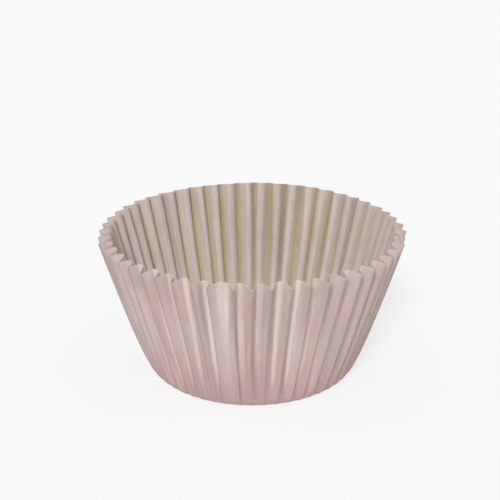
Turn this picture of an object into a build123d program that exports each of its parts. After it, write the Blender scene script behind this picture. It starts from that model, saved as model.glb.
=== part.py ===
"""Pleated paper cupcake liner, one sheet of paper pressed into a fluted cup.

A flat round of paper is pressed into a fluted mould. Its middle stays flat as the floor, a rounded
bend turns the rest up, and what is spare round the wall lies in pleats that run straight from the bend
to the rim. An outer ridge is creased nearly sharp and an inner fold is round. The round has one radius,
so every line from the bend to the rim is equally long, and the ridges, which lean out more, end lower.

Millimetres, +Z up, origin at the middle of the underside of the floor.
"""
import os
from math import acos, atan2, cos, hypot, pi, sin, sqrt, tan

from build123d import *

# Driving sizes
base_diameter = 50.0  # circle where floor and wall would meet in a sharp corner
rim_diameter = 73.8  # over the outer ridges
height = 34.6  # underside of the floor to the ends of the outer ridges
pleat_count = 52
pleat_depth = 2.6  # outer ridge to inner fold at the rim
paper = 0.1  # thickness of the sheet
bend_radius = 3.5  # bend from floor to wall, like the two below at the middle of the paper
ridge_radius = 0.3
fold_radius = 1.1
rim_allowance = 1.0  # wall made above the rim and trimmed off along it

# The line of the wall, seen from the side as (distance from the axis, height) of the paper's middle
half_paper = paper / 2
corner = base_diameter / 2
ridge_end = (rim_diameter / 2 - half_paper, height)
wall_length = hypot(ridge_end[0] - corner, ridge_end[1] - half_paper)
fold_reach = ridge_end[0] - pleat_depth
fold_end = (fold_reach, half_paper + sqrt(wall_length**2 - (fold_reach - corner) ** 2))
lean = atan2(ridge_end[1] + fold_end[1] - paper, ridge_end[0] + fold_end[0] - base_diameter)

# The bend is tangent to the floor and to the wall, and the pleats start at its upper end
bend_run = bend_radius * tan(lean / 2)
floor_reach = corner - bend_run
bend_centre = (floor_reach, half_paper + bend_radius)
bend_end = (corner + bend_run * cos(lean), half_paper + bend_run * sin(lean))
wall_top = fold_end[1] + rim_allowance


def bend_point(radius, drop):
    """Point of the bend's arc that lies `drop` below the arc's centre."""
    return (bend_centre[0] + sqrt(radius**2 - drop**2), bend_centre[1] - drop)


def bend_middle(radius, end):
    """Point halfway along the bend's arc from the floor up to `end`."""
    half_turn = atan2(end[0] - bend_centre[0], bend_centre[1] - end[1]) / 2
    return (bend_centre[0] + radius * sin(half_turn), bend_centre[1] - radius * cos(half_turn))


def polar(distance, angle, centre=(0.0, 0.0)):
    """Point at a distance and an angle from a centre."""
    return (centre[0] + distance * cos(angle), centre[1] + distance * sin(angle))


def at_height(end, z):
    """Distance from the axis of the straight line from the bend to `end`, at a height."""
    return bend_end[0] + (end[0] - bend_end[0]) * (z - bend_end[1]) / (end[1] - bend_end[1])


# One pleat in plan, where the wall is cut level: half of it is half a ridge, a flat face and half a fold
half_pitch = pi / pleat_count
ridge_centre = at_height(ridge_end, wall_top) - ridge_radius
fold_centre = at_height(fold_end, wall_top) + fold_radius
across = polar(fold_centre, half_pitch)
centres_apart = hypot(across[0] - ridge_centre, across[1])
face_turn = atan2(across[1], across[0] - ridge_centre) - acos((ridge_radius + fold_radius) / centres_apart)
face_length = sqrt(centres_apart**2 - (ridge_radius + fold_radius) ** 2)
half_ridge = ridge_radius * face_turn
half_fold = fold_radius * (face_turn - half_pitch)
half_pleat = half_ridge + face_length + half_fold
ridge_share = half_pitch * half_ridge / half_pleat
fold_share = half_pitch * half_fold / half_pleat
level_paper = paper / sin(lean)  # thickness of the leaning sheet in a level cut


def pleated_outline(side):
    """Level outline of the wall at its top, on the outer (+1) or the inner (-1) face of the paper."""
    ridge = ridge_radius + side * level_paper / 2
    fold = fold_radius - side * level_paper / 2
    for pleat in range(pleat_count):
        angle = 2 * half_pitch * pleat
        here = polar(ridge_centre, angle)
        inward = polar(fold_centre, angle + half_pitch)
        following = polar(ridge_centre, angle + 2 * half_pitch)
        ridge_points = [polar(ridge, angle + turn, here) for turn in (-face_turn, 0, face_turn)]
        fold_turns = (face_turn, half_pitch, 2 * half_pitch - face_turn)
        fold_points = [polar(fold, angle + pi + turn, inward) for turn in fold_turns]
        next_point = polar(ridge, angle + 2 * half_pitch - face_turn, following)
        ThreePointArc(*ridge_points)
        Line(ridge_points[-1], fold_points[0])
        ThreePointArc(*fold_points)
        Line(fold_points[-1], next_point)


def round_outline(reach):
    """Circle at the foot of the wall, in one arc for each ridge, face and fold of the outline above it.

    The arcs are put into the wire directly, because a builder would merge them into one circle.
    """
    stops = (-ridge_share, ridge_share, half_pitch - fold_share, half_pitch + fold_share)
    angles = [2 * half_pitch * pleat + stop for pleat in range(pleat_count) for stop in stops]
    angles.append(2 * pi - ridge_share)
    arcs = []
    for start, end in zip(angles, angles[1:]):
        points = [(*polar(reach, angle), bend_end[1]) for angle in (start, (start + end) / 2, end)]
        arcs.append(ThreePointArc(*points, mode=Mode.PRIVATE))
    return Wire(arcs)


outer_bend = bend_radius + half_paper
inner_bend = bend_radius - half_paper
bend_drop = bend_centre[1] - bend_end[1]
outer_start = bend_point(outer_bend, bend_drop)
inner_start = bend_point(inner_bend, bend_drop)

with BuildPart() as liner:
    # Pleated wall: what lies inside the outer face, less what lies inside the inner face
    for side, start, mode in ((1, outer_start, Mode.ADD), (-1, inner_start, Mode.SUBTRACT)):
        with BuildLine(Plane.XY.offset(wall_top)) as top:
            pleated_outline(side)
        loft([Face(round_outline(start[0])), Face(top.wire())], ruled=True, clean=False, mode=mode)

    # Rim, trimmed along the slope from the fold ends down to the ridge ends
    with BuildSketch(Plane.XZ):
        slope = (ridge_end[0] - fold_end[0], ridge_end[1] - fold_end[1])
        inside = (fold_end[0] - slope[0], fold_end[1] - slope[1])
        outside = (ridge_end[0] + slope[0], ridge_end[1] + slope[1])
        clear = wall_top + rim_allowance
        Polygon(inside, outside, (outside[0], clear), (inside[0], clear), align=None)
    revolve(axis=Axis.Z, mode=Mode.SUBTRACT)

    # Floor and bend, turned in one piece up to the foot of the wall
    with BuildSketch(Plane.XZ):
        with BuildLine():
            Polyline((floor_reach, paper), (0, paper), (0, 0), (floor_reach, 0))
            ThreePointArc((floor_reach, 0), bend_middle(outer_bend, outer_start), outer_start)
            Line(outer_start, inner_start)
            ThreePointArc(inner_start, bend_middle(inner_bend, inner_start), (floor_reach, paper))
        make_face()
    revolve(axis=Axis.Z)

liner.part.label = "liner"

os.makedirs("parts", exist_ok=True)
export_step(liner.part, "parts/liner.step")

flat_diameter = 2 * (floor_reach + bend_radius * lean + wall_length - bend_run)
rim_face = liner.faces().filter_by(GeomType.CONE).sort_by(Axis.Z)[-1]
rim_line = rim_face.outer_wire().length / 2  # its outer and inner edges are one wire
box = liner.part.bounding_box()
print(f"box {box.size.X:.3f} x {box.size.Y:.3f} x {box.size.Z:.3f} mm, {liner.part.volume:.1f} mm3")
print(f"solids {len(liner.part.solids())}, faces {len(liner.part.faces())}, valid {liner.part.is_valid}")
print(f"wall {wall_length:.2f} mm long, fold ends {fold_end[1] - ridge_end[1]:.2f} mm above the ridge ends")
print(f"flat round {flat_diameter:.1f} mm across, {pi * flat_diameter / pleat_count:.2f} mm of edge a pleat")
print(f"pleated rim {rim_line / pleat_count:.2f} mm of edge a pleat")
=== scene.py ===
# %% [markdown]
# # A pleated paper cupcake liner
#
# The liner is one flat round of thin coated paper. A fluted mould presses it into a cup: the middle stays
# flat as the floor, and the paper that is spare round the wall is taken up in pleats. This lesson builds
# the sheet from that idea, so that the pleats get deeper up the wall nearly as fast as real paper needs.
# Then the paper gets its looks: a pearly coating with faint streaks, warm folds and a pale cut edge.

# %% Load the fixed frame
import math

import bpy
import numpy as np
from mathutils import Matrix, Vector


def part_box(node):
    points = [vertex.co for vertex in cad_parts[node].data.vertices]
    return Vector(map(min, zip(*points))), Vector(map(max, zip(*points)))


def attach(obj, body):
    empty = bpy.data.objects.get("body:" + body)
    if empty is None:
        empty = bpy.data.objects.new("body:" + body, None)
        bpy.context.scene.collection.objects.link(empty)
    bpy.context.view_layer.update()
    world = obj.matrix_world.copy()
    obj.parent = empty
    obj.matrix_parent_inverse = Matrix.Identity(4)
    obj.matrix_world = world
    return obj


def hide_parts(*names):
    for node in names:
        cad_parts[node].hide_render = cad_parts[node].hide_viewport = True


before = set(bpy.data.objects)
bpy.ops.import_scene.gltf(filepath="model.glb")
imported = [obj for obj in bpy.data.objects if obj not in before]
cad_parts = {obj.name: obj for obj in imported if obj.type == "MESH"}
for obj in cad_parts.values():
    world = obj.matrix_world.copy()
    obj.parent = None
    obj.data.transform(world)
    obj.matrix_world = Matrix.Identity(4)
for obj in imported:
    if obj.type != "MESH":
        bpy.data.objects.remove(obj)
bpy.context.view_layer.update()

MM = 0.001
liner_low, liner_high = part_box("liner")
print("frame box in mm:", [round(v / MM, 2) for v in (*liner_low, *liner_high)])

# %% [markdown]
# ## The line of the cup
#
# Seen from the side, the middle of the paper is a flat floor, a bend and a wall. A mould's corner is tight,
# but paper is springy: it bends sharply where it is held down on the floor and eases off higher up, and
# the wall keeps a slight belly. A drawn curve could show that, but here the slope at each distance along
# the paper is given by a formula, and small steps along the paper add up to the line. That way the
# distance along the paper is always known, and it tells how much paper there is to fold away.

# %% Sizes of the cup's line
PAPER = 0.1 * MM
PLEATS = 52
PLEAT_DEPTH = 2.6 * MM  # outer ridge to inner fold at the rim
SPARE = 0.3 * MM  # kept free inside the frame's box for the unevenness of real pleats
FLOOR_REACH = 23.1 * MM  # radius of the flat floor
TABLE_GAP = 0.003 * MM  # keeps the first pleats of the bend off the table
EASE = 1.42 * MM  # the bend is nearly done after three times this distance
BELLY = math.radians(3.3)  # about how much the wall turns between bend and rim
LEAN = math.radians(74.7)  # about the slope of the wall at the rim

# %% The line, added up in small steps
STEP = 0.02 * MM
LINE_LENGTH = 80 * MM  # more than enough; the rim is found on it below
WALL_LENGTH = 40 * MM  # about the length of the wall, over which it turns by its belly
line_along = np.arange(0, LINE_LENGTH, STEP)
past_floor = np.maximum(line_along - FLOOR_REACH, 0)
line_slope = (LEAN - BELLY) * (1 - np.exp(-past_floor / EASE)) + BELLY * past_floor / WALL_LENGTH
line_reach = np.cumsum(np.cos(line_slope)) * STEP - STEP
line_height = TABLE_GAP + PAPER / 2 + np.cumsum(np.sin(line_slope)) * STEP

# %% Fit the line's end to the frame's box
rim_reach = liner_high.x - SPARE - PAPER / 2 - PLEAT_DEPTH / 2
rim_height = liner_high.z - SPARE - PAPER / 2 - math.cos(LEAN) * PLEAT_DEPTH / 2
rim_step = int(np.argmax(line_height > rim_height))
sheet_reach = line_along[rim_step]
widen = (rim_reach - FLOOR_REACH) / (line_reach[rim_step] - FLOOR_REACH)
line_reach = np.where(past_floor > 0, FLOOR_REACH + (line_reach - FLOOR_REACH) * widen, line_reach)
print(f"flat round {2 * sheet_reach / MM:.1f} mm across, reach beyond the floor scaled by {widen:.4f}")


# %% Read a place off the line
def cup_line(along):
    """Distance from the axis, height, and the direction out of the cup, at a distance along the paper."""
    slope = np.interp(along, line_along, line_slope)
    reach = np.interp(along, line_along, line_reach)
    height = np.interp(along, line_along, line_height)
    return reach, height, np.sin(slope), -np.cos(slope)


# %% [markdown]
# ## Rings of points
#
# The sheet is made of rings, from the middle of the floor to the rim. They lie close together where the
# paper bends or ends and far apart where it runs straight, so no point is wasted.

# %% Where the rings lie, along the paper
FLOOR_RINGS = np.array([0.0, 0.22, 0.42, 0.6, 0.75, 0.86, 0.94, 0.98])  # shares of the floor's radius
BEND_SPAN = 4 * EASE
BEND_RINGS, WALL_RINGS = 12, 23
FIRST_CLOSER = 1.3  # above 1, the rings of the bend lie closer where it starts
ENDS_CLOSER = 0.06  # above 0, the rings of the wall lie closer at both its ends
wall_start = FLOOR_REACH + BEND_SPAN
wall_share = np.linspace(0, 1, WALL_RINGS + 1)[1:]
wall_share = wall_share - ENDS_CLOSER * np.sin(2 * math.pi * wall_share)
rows = np.concatenate([
    FLOOR_REACH * FLOOR_RINGS,
    FLOOR_REACH + BEND_SPAN * np.linspace(0, 1, BEND_RINGS) ** FIRST_CLOSER,
    wall_start + (sheet_reach - wall_start) * wall_share,
])
up_share = np.clip((rows - FLOOR_REACH) / (sheet_reach - FLOOR_REACH), 0, 1)
reach, height, out_x, out_z = cup_line(rows)
print(len(rows), "rings")

# %% [markdown]
# ## How deep the pleats are
#
# At a distance `s` along the paper the flat round measures `2 pi s` round, but the cup has room for only
# `2 pi r`. A zigzag of half pitch `pi r / n` that is `pi s / n` long has the depth
# `(pi / n) * sqrt(s*s - r*r)`. So the floor has no pleats, and they start steeply at the bend and then
# grow more and more evenly. Here they are made deeper than that low on the wall, so that their shadows
# show, and start softly at the bend, so that the foot stays smooth. The sheet comes out about 3% larger
# than the flat round, which is a liberty taken for the looks.

# %% Depth of the pleats up the wall
spare_paper = np.sqrt(np.maximum(rows**2 - reach**2, 0))
EARLY = 0.7  # 1 would be true to the spare paper; below 1, pleats are deeper low down
SOFT_START = 2 * EASE
started = 1 - np.exp(-np.maximum(rows - FLOOR_REACH, 0) / SOFT_START)
depth_share = started * (spare_paper / spare_paper[-1]) ** EARLY
at_bend_end = float(np.interp(wall_start, rows, depth_share))
print("share of the full depth where the bend ends:", round(at_bend_end, 2))

# %% [markdown]
# ## Pleats that differ
#
# A mould makes equal pleats, but paper springs back unevenly and liners are pressed together in stacks.
# So each ridge and fold gets a place and a depth of its own, from a seeded random generator, and the
# pleats lean over a little on one side. One of them has been pushed flat below the rim.

# %% Places of the ridges and folds
rng = np.random.default_rng(7)
PITCH = 2 * math.pi / PLEATS
FRONT = math.radians(-90)
FIRST_FOLD = math.radians(2.9)  # from the front
UNEVEN_PITCH = 0.045  # of a pitch
CROWDING = 0.01  # pleats are this much closer together at the front, and wider apart at the back
LEANING = 0.05  # of a pitch; how far the ridges lean over on one side, fading to none opposite
LEANING_SIDE = math.radians(70)  # from the front, to the right
WANDER = 0.05  # of a pitch; a crease is off its straight line by about this much half way up

pleat = np.arange(PLEATS)


def crowded(angle):
    """Angle of a crease once the pleats have crowded towards the front."""
    return FRONT + FIRST_FOLD + angle - CROWDING * np.sin(angle)


fold_angle = crowded(PITCH * (pleat + rng.normal(0, UNEVEN_PITCH, PLEATS)))
leaning = LEANING * (0.5 + 0.5 * np.cos(PITCH * pleat - LEANING_SIDE))
ridge_angle = crowded(PITCH * (pleat + 0.5 + leaning + rng.normal(0, UNEVEN_PITCH, PLEATS)))
fold_wander, ridge_wander = rng.normal(0, WANDER, (2, PLEATS)) * PITCH

# %% Depths of the ridges and folds
UNEVEN_DEPTH = 0.06  # of the pleat depth
MOST_DEEPER, MOST_SHALLOWER = 0.1, 0.18  # limits of it, so that no pleat leaves the frame's box
fold_out = -0.5 + rng.normal(0, UNEVEN_DEPTH, PLEATS).clip(-MOST_DEEPER, MOST_SHALLOWER)
ridge_out = 0.5 + rng.normal(0, UNEVEN_DEPTH, PLEATS).clip(-MOST_SHALLOWER, MOST_DEEPER)
fold_level = np.tile(fold_out, (len(rows), 1))

# %% The pleat that is pushed flat
FLAT_PLEAT = PLEATS - 2  # the second fold to the left of the front
FLATNESS = 0.56  # of the pleat depth, at the worst place
FLAT_FROM = -0.3  # of the wall's length; the pressing is strongest half way from here to the rim
BLUNT = 0.8  # below 1, the pressed place is broader
SPREADING = 0.15  # of a pitch; the paper set free pushes the two ridges beside it apart
pressed_share = (up_share - FLAT_FROM) / (1 - FLAT_FROM)
pressed = np.sin(math.pi * np.clip(pressed_share, 0, 1)) ** BLUNT
fold_level[:, FLAT_PLEAT] += FLATNESS * pressed
ridge_angle[FLAT_PLEAT - 1] -= SPREADING * PITCH
ridge_angle[FLAT_PLEAT] += SPREADING * PITCH
print("pleats:", PLEATS, "half a pitch at the rim is", round(PITCH / 2 * rim_reach / MM, 2), "mm")

# %% [markdown]
# ## The section of a pleat
#
# Cut across, half a pleat is a small arc over the ridge, a face, and a larger arc round the fold. Two
# circles and the straight line that touches both give the section of a shallow pleat near the floor as
# well as of a deep one at the rim. No face is quite flat: each swells out or sags a little, as creased
# paper does.

# %% Sizes of the section
RIDGE_RADIUS = 0.1 * MM
FOLD_RADIUS = 1.2 * MM  # at the rim, and less where the pitch is less
FLAT_ROUNDER = 1.9  # the fold that is pushed flat is this many times rounder
UNEVEN_SWELL = 0.06 * MM
RIDGE_STEPS, FACE_STEPS, FOLD_STEPS = 2, 4, 4
STEPS = RIDGE_STEPS + FACE_STEPS + FOLD_STEPS
SHALLOW = 0.25 * PLEAT_DEPTH  # a pleat less deep than this is only beginning
LEAST_DEPTH = 1e-3 * MM  # on the floor, so that nothing is divided by zero
FACE_ROOM = 0.9  # a rounder fold than this share of the largest would leave no room for a face


# %% Half a pleat, from ridge to fold
def half_pleat(width, depth, fold_radius, swell):
    """Points of half a pleat as shares of its width and as heights over the fold, along a new last axis."""
    width, depth, fold_radius, swell = (values[:, None] for values in (width, depth, fold_radius, swell))
    both = RIDGE_RADIUS + fold_radius
    apart = np.hypot(width, both - depth)
    turn = np.arctan2(width, both - depth) - np.arccos(np.clip(both / apart, -1, 1))
    over = turn * np.linspace(0, 1, RIDGE_STEPS + 1)
    ridge_x = RIDGE_RADIUS * np.sin(over)
    ridge_y = depth - RIDGE_RADIUS + RIDGE_RADIUS * np.cos(over)
    under = turn * np.linspace(1, 0, FOLD_STEPS + 1)
    fold_x = width - fold_radius * np.sin(under)
    fold_y = fold_radius * (1 - np.cos(under))
    between = np.linspace(0, 1, FACE_STEPS + 1)[1:-1]
    bulge = swell * 4 * between * (1 - between)
    face_x = ridge_x[:, -1:] + (fold_x[:, :1] - ridge_x[:, -1:]) * between + bulge * np.sin(turn)
    face_y = ridge_y[:, -1:] + (fold_y[:, :1] - ridge_y[:, -1:]) * between + bulge * np.cos(turn)
    share = np.concatenate([ridge_x, face_x, fold_x], axis=1) / width
    level = np.concatenate([ridge_y, face_y, fold_y], axis=1)
    # Where a pleat is only beginning, its points spread out evenly instead of crowding at the creases.
    beginning = np.clip(1 - depth / SHALLOW, 0, 1)
    return share + (np.linspace(0, 1, STEPS + 1) - share) * beginning, level


# %% [markdown]
# ## The sheet of points
#
# Every ring goes once round the cup: ridge to fold, then fold to the next ridge, for every pleat. One
# function makes a face of a pleat at all heights at once, and the two faces of a pleat only differ in
# which way they run.

# %% All the faces of all the pleats
fold_radius = FOLD_RADIUS * reach / rim_reach
belly_of_crease = np.sin(math.pi * up_share)  # a crease that wanders is straight again at floor and rim


def pleat_face(k, ridge, turned):
    """Angles and levels of the face between a ridge and fold k, one row a ring."""
    ridge_at = ridge_angle[ridge] - turned + ridge_wander[ridge] * belly_of_crease
    fold_at = fold_angle[k] + fold_wander[k] * belly_of_crease
    top = ridge_out[ridge] * PLEAT_DEPTH * depth_share
    bottom = fold_level[:, k] * PLEAT_DEPTH * depth_share
    depth = np.maximum(top - bottom, LEAST_DEPTH)
    width = np.abs(fold_at - ridge_at) * np.maximum(reach, FLOOR_REACH / 2)
    swell = UNEVEN_SWELL * rng.normal() * depth_share
    widest = FACE_ROOM * (width**2 + depth**2) / (2 * depth)
    rounding = np.minimum(fold_radius * (FLAT_ROUNDER if k == FLAT_PLEAT else 1), widest)
    share, level = half_pleat(width, depth, rounding, swell)
    angle = ridge_at[:, None] + (fold_at - ridge_at)[:, None] * share
    return angle, bottom[:, None] + level, np.tile(depth[:, None] / PLEAT_DEPTH, STEPS + 1)


# %% Join them into rings
to_fold = np.linspace(0, 1, STEPS + 1)
ring_angle, ring_level, ring_depth, ring_fold = [], [], [], []
for k in pleat:
    before = (k - 1) % PLEATS
    down_angle, down_level, down_depth = pleat_face(k, before, 2 * math.pi if k == 0 else 0)
    up_angle, up_level, up_depth = pleat_face(k, k, 0)
    ring_angle += [down_angle[:, :-1], up_angle[:, :0:-1]]
    ring_level += [down_level[:, :-1], up_level[:, :0:-1]]
    ring_depth += [down_depth[:, :-1], up_depth[:, :0:-1]]
    ring_fold += [to_fold[:-1], to_fold[:0:-1]]
ring_angle = np.concatenate(ring_angle, axis=1)
ring_level = np.concatenate(ring_level, axis=1)
ring_depth = np.concatenate(ring_depth, axis=1)
ring_fold = np.concatenate(ring_fold)
columns = ring_angle.shape[1]
print(columns, "points in each ring")

# %% [markdown]
# ## The sheet in space
#
# A pleat lies half outside the cup's line and half inside it, so each point moves out along the line's
# own direction. The rim is the edge of a true circle of paper, cut a little unevenly. Since an outer
# ridge leans out more than an inner fold, its end comes out lower, and the rim zigzags up and down too.

# %% Place the rings
RIM_UNEVEN = 0.1 * MM
LONG_WAVES, LONG_SHIFT = 5, 1.0  # the cut's longer wave: how many round the rim, and where it starts
SHORT_WAVES, SHORT_SHARE = 13, 0.6  # its shorter wave: how many, and how high beside the longer one
RIM_ONLY = 6  # the higher, the nearer to the rim the rings have to be to follow the cut
long_wave = np.sin(LONG_WAVES * ring_angle[-1] + LONG_SHIFT)
wave = long_wave + SHORT_SHARE * np.sin(SHORT_WAVES * ring_angle[-1])
cut = RIM_UNEVEN / (1 + SHORT_SHARE) * wave * up_share[:, None] ** RIM_ONLY
trimmed = rows[:, None] + cut
reach_all, height_all, out_x_all, out_z_all = cup_line(trimmed)
radius = reach_all + out_x_all * ring_level
lift = height_all + out_z_all * ring_level
sheet = np.stack([radius * np.cos(ring_angle), radius * np.sin(ring_angle), lift], axis=-1)
print("lowest and highest point in mm:", round(float(lift.min()) / MM, 3), round(float(lift.max()) / MM, 3))

# %% Make the mesh
# The faces are wound to look down and out of the cup, so the first side of the paper is its outside.
verts = np.concatenate([[[0, 0, PAPER / 2]], sheet[1:].reshape(-1, 3)])
ring = np.arange(columns)
after = (ring + 1) % columns
faces = [(0, 1 + b, 1 + a) for a, b in zip(ring, after)]
for row in range(len(rows) - 2):
    inner, outer = 1 + row * columns, 1 + (row + 1) * columns
    faces += [(inner + b, outer + b, outer + a, inner + a) for a, b in zip(ring, after)]
mesh = bpy.data.meshes.new("paper_liner")
mesh.from_pydata(verts.tolist(), [], faces)
liner = bpy.data.objects.new("paper_liner", mesh)
bpy.context.collection.objects.link(liner)
print(len(mesh.vertices), "points,", len(mesh.polygons), "faces")

# %% [markdown]
# ## Marks on the paper
#
# A finish has to know where on the sheet it is: how far from a crease, how far up the wall, and where on
# the flat round before it was pressed. Painted masks could say that, but the numbers are known already
# while the mesh is made, so they are kept on its points, and each material reads them by name.

# %% Places on the flat round
turn_round = np.arange(columns) / columns * 2 * math.pi
compass = np.stack([np.cos(turn_round), np.sin(turn_round)], axis=-1)
along_mm = np.broadcast_to(rows[1:, None, None] / MM, (len(rows) - 1, columns, 1))
flat_values = np.concatenate([along_mm * compass, np.zeros_like(along_mm)], axis=-1).reshape(-1, 3)
compass_rows = np.broadcast_to(compass, (len(rows) - 1, columns, 2))
round_values = np.concatenate([compass_rows, along_mm], axis=-1).reshape(-1, 3)
print(len(flat_values), "places on the flat round")


# %% Keep a mark on the points
def keep_mark(name, kind, values):
    """Store values on the points of the sheet; the middle point gets zeros."""
    values = np.asarray(values, dtype=float)
    values = np.concatenate([np.zeros((1, *values.shape[1:])), values])
    kept = mesh.attributes.new(name, kind, "POINT")
    kept.data.foreach_set("vector" if kind == "FLOAT_VECTOR" else "value", values.ravel())


# %% Give the sheet its marks
# Each crease begins near the edge of the floor, so the depth kept there isn't quite nothing: the painted
# crease shade shows faintly there.
FLOOR_SHADE_REACH = 3.5 * MM
FAINT = 0.22  # of the pleat depth
floor_shade_depth = FAINT * np.clip(1 - (FLOOR_REACH - rows) / FLOOR_SHADE_REACH, 0, 1)
keep_mark("fold", "FLOAT", np.tile(ring_fold, len(rows) - 1))
keep_mark("up", "FLOAT", np.repeat(up_share[1:], columns))
keep_mark("depth", "FLOAT", np.maximum(ring_depth, floor_shade_depth[:, None])[1:].ravel())
keep_mark("flat", "FLOAT_VECTOR", flat_values)
keep_mark("round", "FLOAT_VECTOR", round_values)
print("marks:", [kept.name for kept in mesh.attributes if kept.domain == "POINT"])

# %% [markdown]
# ## Thickness
#
# The sheet so far has none. Solidify gives it the paper's thickness, half to each side, and the three
# surfaces that this makes, outside, inside and cut edge, get three places for materials.

# %% Give the sheet its thickness
for slot_number in range(3):
    mesh.materials.append(None)
mesh.shade_smooth()
thickness = liner.modifiers.new("paper thickness", "SOLIDIFY")
thickness.thickness = PAPER
thickness.offset = 0
thickness.material_offset = 1
thickness.material_offset_rim = 2
graph = bpy.context.evaluated_depsgraph_get()
shell = bpy.data.meshes.new_from_object(liner.evaluated_get(graph), preserve_all_data_layers=True,
                                        depsgraph=graph)
liner.modifiers.clear()
liner.data = shell
shell.name = "paper_shell"
print("two sides and an edge:", len(shell.polygons), "faces")

# %% Smooth folds, sharp ridges
SHARPEST_SMOOTH = math.radians(58)  # a ridge that turns more than this stays a crease
FLAT_FACES_FIRST = 80  # how much the large faces decide the shading beside a crease
shell.set_sharp_from_angle(angle=SHARPEST_SMOOTH)
even_light = liner.modifiers.new("flat faces stay flat", "WEIGHTED_NORMAL")
even_light.keep_sharp = True
even_light.weight = FLAT_FACES_FIRST
print("triangles:", sum(len(face.vertices) - 2 for face in shell.polygons))

# %% [markdown]
# ## Tools for the finishes
#
# A finish is a small net of nodes. Six short helpers keep the recipes readable: they set or link an input,
# do a sum, mix two colours, make noise, spread a value and start a group.


# %% Helpers for nodes
def feed(tree, target, value):
    """Link an output to an input, or set a plain value on it."""
    if isinstance(value, bpy.types.NodeSocket):
        tree.links.new(value, target)
    else:
        target.default_value = value


def calc(tree, operation, *values):
    """A sum of one to three values."""
    node = tree.nodes.new("ShaderNodeMath")
    node.operation = operation
    for target, value in zip(node.inputs, values):
        feed(tree, target, value)
    return node.outputs[0]


def mix_colours(tree, share, first, second, way="MIX"):
    """Two colours mixed by a share."""
    node = tree.nodes.new("ShaderNodeMix")
    node.data_type = "RGBA"
    node.blend_type = way
    feed(tree, node.inputs["Factor"], share)
    feed(tree, node.inputs[6], first)
    feed(tree, node.inputs[7], second)
    return node.outputs[2]


def noise(tree, place, scale, detail=2.0, stretch=None):
    """Soft random values from 0 to 1. The scale is in blots for each unit of the place."""
    if stretch is not None:
        scaled = tree.nodes.new("ShaderNodeVectorMath")
        scaled.operation = "MULTIPLY"
        feed(tree, scaled.inputs[0], place)
        scaled.inputs[1].default_value = stretch
        place = scaled.outputs[0]
    node = tree.nodes.new("ShaderNodeTexNoise")
    feed(tree, node.inputs["Vector"], place)
    node.inputs["Scale"].default_value = scale
    node.inputs["Detail"].default_value = detail
    return node.outputs["Fac"]


def ramp(tree, value, low, high):
    """A value spread so that low becomes 0 and high becomes 1, with soft ends."""
    node = tree.nodes.new("ShaderNodeMapRange")
    node.interpolation_type = "SMOOTHSTEP"
    feed(tree, node.inputs["Value"], value)
    node.inputs["From Min"].default_value = low
    node.inputs["From Max"].default_value = high
    return node.outputs["Result"]


def new_group(name, inputs, outputs):
    """An empty node group with named inputs and outputs, given as (name, kind) pairs."""
    group = bpy.data.node_groups.new(name, "ShaderNodeTree")
    for label, kind in inputs:
        group.interface.new_socket(name=label, in_out="INPUT", socket_type="NodeSocket" + kind)
    for label, kind in outputs:
        group.interface.new_socket(name=label, in_out="OUTPUT", socket_type="NodeSocket" + kind)
    return group, group.nodes.new("NodeGroupInput"), group.nodes.new("NodeGroupOutput")


# %% [markdown]
# ## Paper grain
#
# Paper is matted fibre: fine and even close up, slightly cloudy from further off. Both sides and the cut
# edge show it, so it is a node group. It works on the flat round, so the grain runs unbroken over creases.
# The scales are blots a millimetre.

# %% The grain group
grain_group, grain_in, grain_out = new_group(
    "paper grain", [("Flat", "Vector")], [("Height", "Float"), ("Cloud", "Float")])
FIBRE_SCALE, CLOUD_SCALE = 5.0, 1.2
CLOUD_HEIGHT = 0.4  # of the fibres' height
fibre = noise(grain_group, grain_in.outputs["Flat"], FIBRE_SCALE, 3.0)
cloud = noise(grain_group, grain_in.outputs["Flat"], CLOUD_SCALE, 3.0)
feed(grain_group, grain_out.inputs["Height"], calc(grain_group, "MULTIPLY_ADD", cloud, CLOUD_HEIGHT, fibre))
feed(grain_group, grain_out.inputs["Cloud"], cloud)

# %% [markdown]
# ## Press streaks
#
# The mould drags on the coating as it draws the paper up, which leaves fine streaks along the pleats.
# The noise is stretched along the wall by making its third coordinate, the distance along the paper,
# count for little. On the floor the mould doesn't drag, so the streaks fade out there.

# %% The streak group
streak_group, streak_in, streak_out = new_group(
    "press streaks", [("Round", "Vector"), ("Up", "Float")], [("Streak", "Float")])
FINE_STREAKS, BROAD_STREAKS = (75, 75, 0.05), (24, 24, 0.03)
FINE_SHARE = 0.6
FULL_FROM = 0.12  # of the way up the wall
fine = noise(streak_group, streak_in.outputs["Round"], 1.0, 3.0, stretch=FINE_STREAKS)
broad = noise(streak_group, streak_in.outputs["Round"], 1.0, 1.0, stretch=BROAD_STREAKS)
broad_part = calc(streak_group, "MULTIPLY", broad, 1 - FINE_SHARE)
both = calc(streak_group, "MULTIPLY_ADD", fine, FINE_SHARE, broad_part)
wall_only = ramp(streak_group, streak_in.outputs["Up"], 0.0, FULL_FROM)
centred = calc(streak_group, "MULTIPLY", calc(streak_group, "SUBTRACT", both, 0.5), wall_only)
feed(streak_group, streak_out.inputs["Streak"], centred)

# %% [markdown]
# ## Pearl tints
#
# The coating is pearly: it breaks the light a little, so that patches look lavender, creamy green or
# peach. True interference changes with the eye's place, which a part in a library can't keep, so the
# tints are laid on as large soft clouds, drawn out along the wall.

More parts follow.
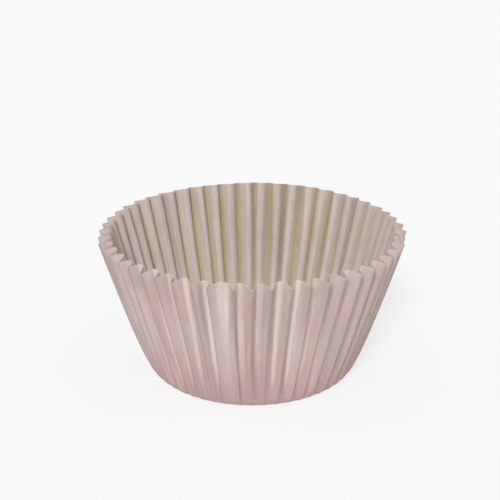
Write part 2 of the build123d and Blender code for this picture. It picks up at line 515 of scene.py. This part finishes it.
# %% The pearl group
pearl_group, pearl_in, pearl_out = new_group(
    "pearl tints", [("Round", "Vector"), ("Colour", "Color")], [("Colour", "Color")])
LAVENDER = (0.52, 0.42, 0.55, 1)
CREAM_GREEN = (0.52, 0.50, 0.38, 1)
PEACH = (0.80, 0.56, 0.45, 1)
PATCH_EDGE = (0.46, 0.72)  # noise below the first has no tint, above the second it has all of it
place = pearl_in.outputs["Round"]
tinted = pearl_in.outputs["Colour"]
for tint, stretch, strength in (
    (LAVENDER, (10, 8, 0.20), 0.24),
    (CREAM_GREEN, (11, 11, 0.16), 0.50),
    (PEACH, (14, 14, 0.09), 0.40),
):
    patch = ramp(pearl_group, noise(pearl_group, place, 1.0, 1.0, stretch=stretch), *PATCH_EDGE)
    tinted = mix_colours(pearl_group, calc(pearl_group, "MULTIPLY", patch, strength), tinted, tint)
feed(pearl_group, pearl_out.inputs["Colour"], tinted)

# %% [markdown]
# ## Painted crease light and shade
#
# The colour carries the light and shade of the pleats. Painted shade, olive yellow on the inside, darkens
# the face towards the sharp outer ridge, and a painted shade line lies on the crease itself. In the round
# fold a painted warm highlight stands for the light that bounces from side to side. One group makes soft
# masks of all three. They follow "fold", which is 0 on a ridge and 1 in a fold, and fade where pleats are
# shallow.

# %% The crease group
crease_group, crease_in, crease_out = new_group(
    "painted crease light and shade", [("Fold", "Float"), ("Depth", "Float"), ("Flat", "Vector"), ("Round", "Vector")],
    [("Ridge", "Float"), ("Groove", "Float"), ("Line", "Float")])
WAVER = 0.16  # how unevenly the masks of ridge and groove end
RIDGE_EDGE, GROOVE_EDGE, LINE_EDGE = (0.22, 0.5), (0.5, 0.95), (0.16, 0.28)
SHADE_DEPTH, WARM_DEPTH = (0.0, 0.45), (0.25, 0.65)  # of the pleat depth
fold_in, depth_in = crease_in.outputs["Fold"], crease_in.outputs["Depth"]
waver = calc(crease_group, "SUBTRACT", noise(crease_group, crease_in.outputs["Flat"], 0.6, 2.0), 0.5)
place = calc(crease_group, "MULTIPLY_ADD", waver, WAVER, fold_in)
shade_share = ramp(crease_group, depth_in, *SHADE_DEPTH)
# The ridge mask places painted shade, the groove mask a painted warm highlight and the line mask a painted
# shade line.
ridge_shade_mask = calc(crease_group, "SUBTRACT", 1.0, ramp(crease_group, place, *RIDGE_EDGE))
fold_light_mask = ramp(crease_group, place, *GROOVE_EDGE)
crease_shade_mask = calc(crease_group, "SUBTRACT", 1.0, ramp(crease_group, fold_in, *LINE_EDGE))

# %% The painted fold highlight differs from pleat to pleat
BY_PLEAT = (7, 7, 0.02)  # noise that changes round the cup and hardly up the wall
GROOVE_SPREAD = (0.2, 0.62)
by_pleat = noise(crease_group, crease_in.outputs["Round"], 1.0, 0.0, stretch=BY_PLEAT)
by_pleat = ramp(crease_group, by_pleat, *GROOVE_SPREAD)
fold_light_mask = calc(crease_group, "MULTIPLY", fold_light_mask, by_pleat)
warm = ramp(crease_group, depth_in, *WARM_DEPTH)
for name, mask, share in (("Ridge", ridge_shade_mask, shade_share), ("Groove", fold_light_mask, warm),
                          ("Line", crease_shade_mask, shade_share)):
    feed(crease_group, crease_out.inputs[name], calc(crease_group, "MULTIPLY", mask, share))
print("groups:", [group.name for group in bpy.data.node_groups])

# %% [markdown]
# ## A paper material
#
# The three materials share one build and differ in their values. The paper lets some light through, so
# the shader is mostly a half-glossy coated surface and partly a translucent one.


# %% Place a group in a material
def place_group(tree, group, **values):
    """A group node in a tree, with its inputs fed."""
    node = tree.nodes.new("ShaderNodeGroup")
    node.node_tree = group
    for label, value in values.items():
        feed(tree, node.inputs[label], value)
    return node


def mark(tree, name, output="Fac"):
    """A mark that was kept on the points."""
    node = tree.nodes.new("ShaderNodeAttribute")
    node.attribute_name = name
    return node.outputs[output]


# %% Amounts that all papers share
FOOT_TOP = 0.6  # of the wall; the colour of the foot has faded out here
CLOUDINESS = 0.22  # how much the cloudy fibre changes the brightness
UNEVEN_ROUGHNESS = 0.16
SMOOTH_STREAKS = -0.25  # a bright streak is smoother
BUMP_HEIGHT, BUMP_STRENGTH, STREAK_HEIGHT = 0.02 * MM, 0.5, 1.5


# %% The colour of a paper
def paper_colour(tree, marks, streak, cloud, colour, layers, streaks, pearl):
    """Base colour, pearl tint, foot, painted fold highlight, painted ridge shade and painted shade line
    over each other, then streaks and clouds.
    """
    crease = place_group(tree, crease_group, Fold=marks["fold"], Depth=marks["depth"], Flat=marks["flat"],
                         Round=marks["round"])
    pearly = place_group(tree, pearl_group, Round=marks["round"], Colour=(*colour, 1)).outputs["Colour"]
    shade = mix_colours(tree, pearl, (*colour, 1), pearly)
    low_down = calc(tree, "SUBTRACT", 1.0, ramp(tree, marks["up"], 0.0, FOOT_TOP))
    masks = {"foot": low_down, "groove": crease.outputs["Groove"], "ridge": crease.outputs["Ridge"],
             "line": crease.outputs["Line"]}
    # The groove layer is a painted warm highlight and the ridge and line layers are painted shade; the foot
    # layer changes the colour low down.
    for name, mask in masks.items():
        tint, share = layers[name]
        shade = mix_colours(tree, calc(tree, "MULTIPLY", mask, share), shade, (*tint, 1))
    brightness = calc(tree, "MULTIPLY_ADD", streak, streaks, 1.0)
    brightness = calc(tree, "MULTIPLY_ADD", calc(tree, "SUBTRACT", cloud, 0.5), CLOUDINESS, brightness)
    grey = tree.nodes.new("ShaderNodeCombineColor")
    for target in grey.inputs:
        feed(tree, target, brightness)
    return mix_colours(tree, 1.0, shade, grey.outputs[0], "MULTIPLY")


# %% The build
def paper_material(name, colour, streaks, pearl, roughness, translucent, **layers):
    """A paper. Its layers, foot, groove (a painted warm highlight), ridge and line (both painted shade),
    are (colour, share) pairs.
    """
    material = bpy.data.materials.new(name)
    material.use_nodes = True
    tree = material.node_tree
    shader = tree.nodes["Principled BSDF"]
    marks = {"flat": mark(tree, "flat", "Vector"), "round": mark(tree, "round", "Vector"),
             "up": mark(tree, "up"), "fold": mark(tree, "fold"), "depth": mark(tree, "depth")}
    grain = place_group(tree, grain_group, Flat=marks["flat"])
    cloud = grain.outputs["Cloud"]
    streak = place_group(tree, streak_group, Round=marks["round"], Up=marks["up"]).outputs["Streak"]
    shade = paper_colour(tree, marks, streak, cloud, colour, layers, streaks, pearl)
    feed(tree, shader.inputs["Base Color"], shade)

    rough = calc(tree, "MULTIPLY_ADD", cloud, UNEVEN_ROUGHNESS, roughness - UNEVEN_ROUGHNESS / 2)
    feed(tree, shader.inputs["Roughness"], calc(tree, "MULTIPLY_ADD", streak, SMOOTH_STREAKS, rough))
    bump = tree.nodes.new("ShaderNodeBump")
    bump.inputs["Strength"].default_value = BUMP_STRENGTH
    bump.inputs["Distance"].default_value = BUMP_HEIGHT
    relief = calc(tree, "MULTIPLY_ADD", streak, STREAK_HEIGHT, grain.outputs["Height"])
    feed(tree, bump.inputs["Height"], relief)
    feed(tree, shader.inputs["Normal"], bump.outputs[0])

    through = tree.nodes.new("ShaderNodeBsdfTranslucent")
    through.inputs["Color"].default_value = (*translucent[0], 1)
    both = tree.nodes.new("ShaderNodeMixShader")
    both.inputs[0].default_value = translucent[1]
    feed(tree, both.inputs[1], shader.outputs[0])
    feed(tree, both.inputs[2], through.outputs[0])
    feed(tree, tree.nodes["Material Output"].inputs["Surface"], both.outputs[0])
    return material


# %% [markdown]
# ## Outside, inside and edge
#
# Outside, the paper is a dusty pink with a painted peach highlight in the folds, painted shade towards the
# ridges and deeper pink near the foot. Inside it is greyer, and the ridges, which are grooves on this side,
# get painted olive-yellow shade. The floor gets no light through the table, so it is paler to make up for
# it.
# The cut edge shows the bare, pale paper, with a fainter painted highlight at the folds and a painted shade
# line.

# %% The three papers
WARM_LIGHT = ((0.84, 0.74, 0.69), 0.38)  # colour of the light let through, and its share of the shader
SOFT_LIGHT = ((0.84, 0.76, 0.71), 0.5)
# Outside: the groove colour is a painted peach highlight, and the ridge and line colours are painted shade.
outside = paper_material(
    "coated paper outside", (0.695, 0.56, 0.567), ridge=((0.57, 0.465, 0.46), 0.5),
    groove=((0.94, 0.78, 0.715), 0.9), line=((0.32, 0.24, 0.24), 0.65), foot=((0.52, 0.355, 0.37), 0.95),
    streaks=1.0, pearl=0.6, roughness=0.42, translucent=WARM_LIGHT)
# Inside: the ridge and line colours are painted olive-yellow shade in the grooves, the groove colour is a
# faint painted warm highlight, and the pale foot colour is painted light for what the table keeps out.
inside = paper_material(
    "coated paper inside", (0.66, 0.645, 0.61), ridge=((0.56, 0.55, 0.21), 0.85),
    groove=((0.68, 0.64, 0.61), 0.4), line=((0.50, 0.49, 0.15), 0.4), foot=((0.84, 0.80, 0.76), 0.75),
    streaks=0.7, pearl=0.8, roughness=0.45, translucent=SOFT_LIGHT)
# Edge: the groove colour is a painted warm highlight and the line colour a painted shade line.
edge = paper_material(
    "cut paper edge", (0.80, 0.74, 0.71), ridge=((0.80, 0.73, 0.69), 0), groove=((0.86, 0.74, 0.66), 0.5),
    line=((0.60, 0.50, 0.45), 0.2), foot=((0.80, 0.73, 0.69), 0),
    streaks=0.3, pearl=0.3, roughness=0.7, translucent=WARM_LIGHT)
for number, paper in enumerate((outside, inside, edge)):
    shell.materials[number] = paper
print("materials:", [paper.name for paper in shell.materials])

# %% Tie the liner to the frame
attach(liner, "root")
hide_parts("liner")
print(liner.name, "stands for the liner on the root body")

# %% [markdown]
# ## Floor and backdrop
#
# The liner stands on a plain pale floor that goes on far past it. To the camera the floor is partly its
# own pale colour and partly a plain white, so that the shadow stays but is faint.

# %% The floor
FLOOR_HALF = 3.0
BACKDROP_WHITE = 0.955
floor_mesh = bpy.data.meshes.new("floor")
corners = [(-FLOOR_HALF, -FLOOR_HALF, 0), (FLOOR_HALF, -FLOOR_HALF, 0),
           (FLOOR_HALF, FLOOR_HALF, 0), (-FLOOR_HALF, FLOOR_HALF, 0)]
floor_mesh.from_pydata(corners, [], [(0, 1, 2, 3)])
floor = bpy.data.objects.new("floor", floor_mesh)
bpy.context.collection.objects.link(floor)
floor.data.materials.append(bpy.data.materials.new("pale floor"))
print("floor", 2 * FLOOR_HALF, "m wide")

# %% Its paint
VEIL = 0.75  # how much of the plain white the camera sees
floor_paint = floor_mesh.materials[0]
floor_paint.use_nodes = True
tree = floor_paint.node_tree
pale = tree.nodes["Principled BSDF"]
pale.inputs["Base Color"].default_value = (0.95, 0.95, 0.95, 1)
pale.inputs["Roughness"].default_value = 0.9
pale.inputs["Specular IOR Level"].default_value = 0.0
white = tree.nodes.new("ShaderNodeEmission")
white.inputs["Color"].default_value = (1, 1, 1, 1)
white.inputs["Strength"].default_value = BACKDROP_WHITE
ray = tree.nodes.new("ShaderNodeLightPath")
veil = tree.nodes.new("ShaderNodeMixShader")
feed(tree, veil.inputs[0], calc(tree, "MULTIPLY", ray.outputs["Is Camera Ray"], VEIL))
feed(tree, veil.inputs[1], pale.outputs[0])
feed(tree, veil.inputs[2], white.outputs[0])
feed(tree, tree.nodes["Material Output"].inputs["Surface"], veil.outputs[0])
print("the camera sees", VEIL, "of the white veil and the rest of the floor's own paint")

# %% [markdown]
# ## Light
#
# A soft even room and one lamp with soft shadows, from the front, a little to the left and above the eye.
# Between them the front of the wall comes out about as its colour is written.

# %% The room
ROOM_LIGHT = 0.55
world = bpy.data.worlds.new("soft room")
bpy.context.scene.world = world
world.use_nodes = True
tree = world.node_tree
room = tree.nodes["Background"]
room.inputs["Color"].default_value = (1, 1, 1, 1)
room.inputs["Strength"].default_value = ROOM_LIGHT
backdrop = tree.nodes.new("ShaderNodeBackground")
backdrop.inputs["Color"].default_value = (1, 1, 1, 1)
backdrop.inputs["Strength"].default_value = BACKDROP_WHITE
ray = tree.nodes.new("ShaderNodeLightPath")
seen = tree.nodes.new("ShaderNodeMixShader")
feed(tree, seen.inputs[0], ray.outputs["Is Camera Ray"])
feed(tree, seen.inputs[1], room.outputs[0])
feed(tree, seen.inputs[2], backdrop.outputs[0])
feed(tree, tree.nodes["World Output"].inputs["Surface"], seen.outputs[0])
print("room light", ROOM_LIGHT)

# %% The lamp
LAMP_SIDE, LAMP_UP = math.radians(-9), math.radians(36)
lamp_data = bpy.data.lights.new("soft lamp", "SUN")
lamp_data.energy = 2.3
lamp_data.angle = math.radians(12)
lamp = bpy.data.objects.new("soft lamp", lamp_data)
lamp_from = Vector((math.sin(LAMP_SIDE) * math.cos(LAMP_UP), -math.cos(LAMP_SIDE) * math.cos(LAMP_UP),
                    math.sin(LAMP_UP)))
lamp.rotation_euler = (-lamp_from).to_track_quat("-Z", "Y").to_euler()
bpy.context.collection.objects.link(lamp)
print("lamp from", [round(v, 2) for v in lamp_from])

# %% [markdown]
# ## Camera
#
# The camera looks down at the liner from the front, with a long lens, as a catalogue picture would. It
# looks down a little less than it stands above the liner, which leaves room over the rim.

# %% The camera
DISTANCE = 0.290
ELEVATION = math.radians(23.54)  # of the camera, seen from the middle of the liner
PITCH_DOWN = math.radians(21.33)  # of its view
AIM_SIDE, AIM_HEIGHT = -0.49 * MM, 17.3 * MM
camera_data = bpy.data.cameras.new("camera")
camera = bpy.data.objects.new("camera", camera_data)
bpy.context.collection.objects.link(camera)
bpy.context.scene.camera = camera
camera_data.lens = 85.6
camera.location = (AIM_SIDE, -DISTANCE * math.cos(ELEVATION),
                   AIM_HEIGHT + DISTANCE * math.sin(ELEVATION))
camera.rotation_euler = (math.pi / 2 - PITCH_DOWN, 0, 0)
bpy.context.scene.view_settings.view_transform = "Standard"
print("camera at", [round(v, 3) for v in camera.location])
